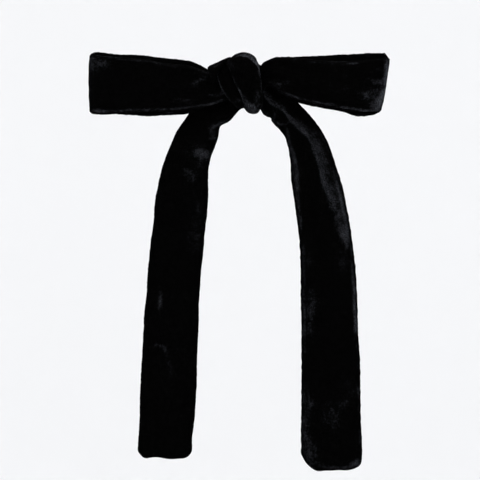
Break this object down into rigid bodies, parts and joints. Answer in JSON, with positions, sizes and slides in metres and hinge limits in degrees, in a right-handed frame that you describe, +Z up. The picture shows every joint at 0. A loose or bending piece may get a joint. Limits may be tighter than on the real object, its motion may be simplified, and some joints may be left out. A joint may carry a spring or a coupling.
{
  "type": "velvet bow tie with long tails",
  "caption": "Hand-tied black velvet bow with flattened loops, a pleated knot, long hanging tails and a neck band, shown as worn.",
  "frame": {"origin": "middle of the neck hollow, level with the middle of the knot", "axes": "+Z up along the neck, -Y to the front where the bow sits, +X to the right seen from the front"},
  "size_m": [0.1359, 0.1409, 0.1882],
  "materials": {
    "black_velvet": "short soft pile, matt, with grey sheen along the edges and folds"
  },
  "bodies": {
    "root": {"neck_band": "black_velvet", "left_loop": "black_velvet", "right_loop": "black_velvet", "left_tail": "black_velvet", "right_tail": "black_velvet", "knot_front_pleat": "black_velvet", "knot_side_pleat": "black_velvet", "knot_shoulder_pleat": "black_velvet"}
  },
  "joints": []
}
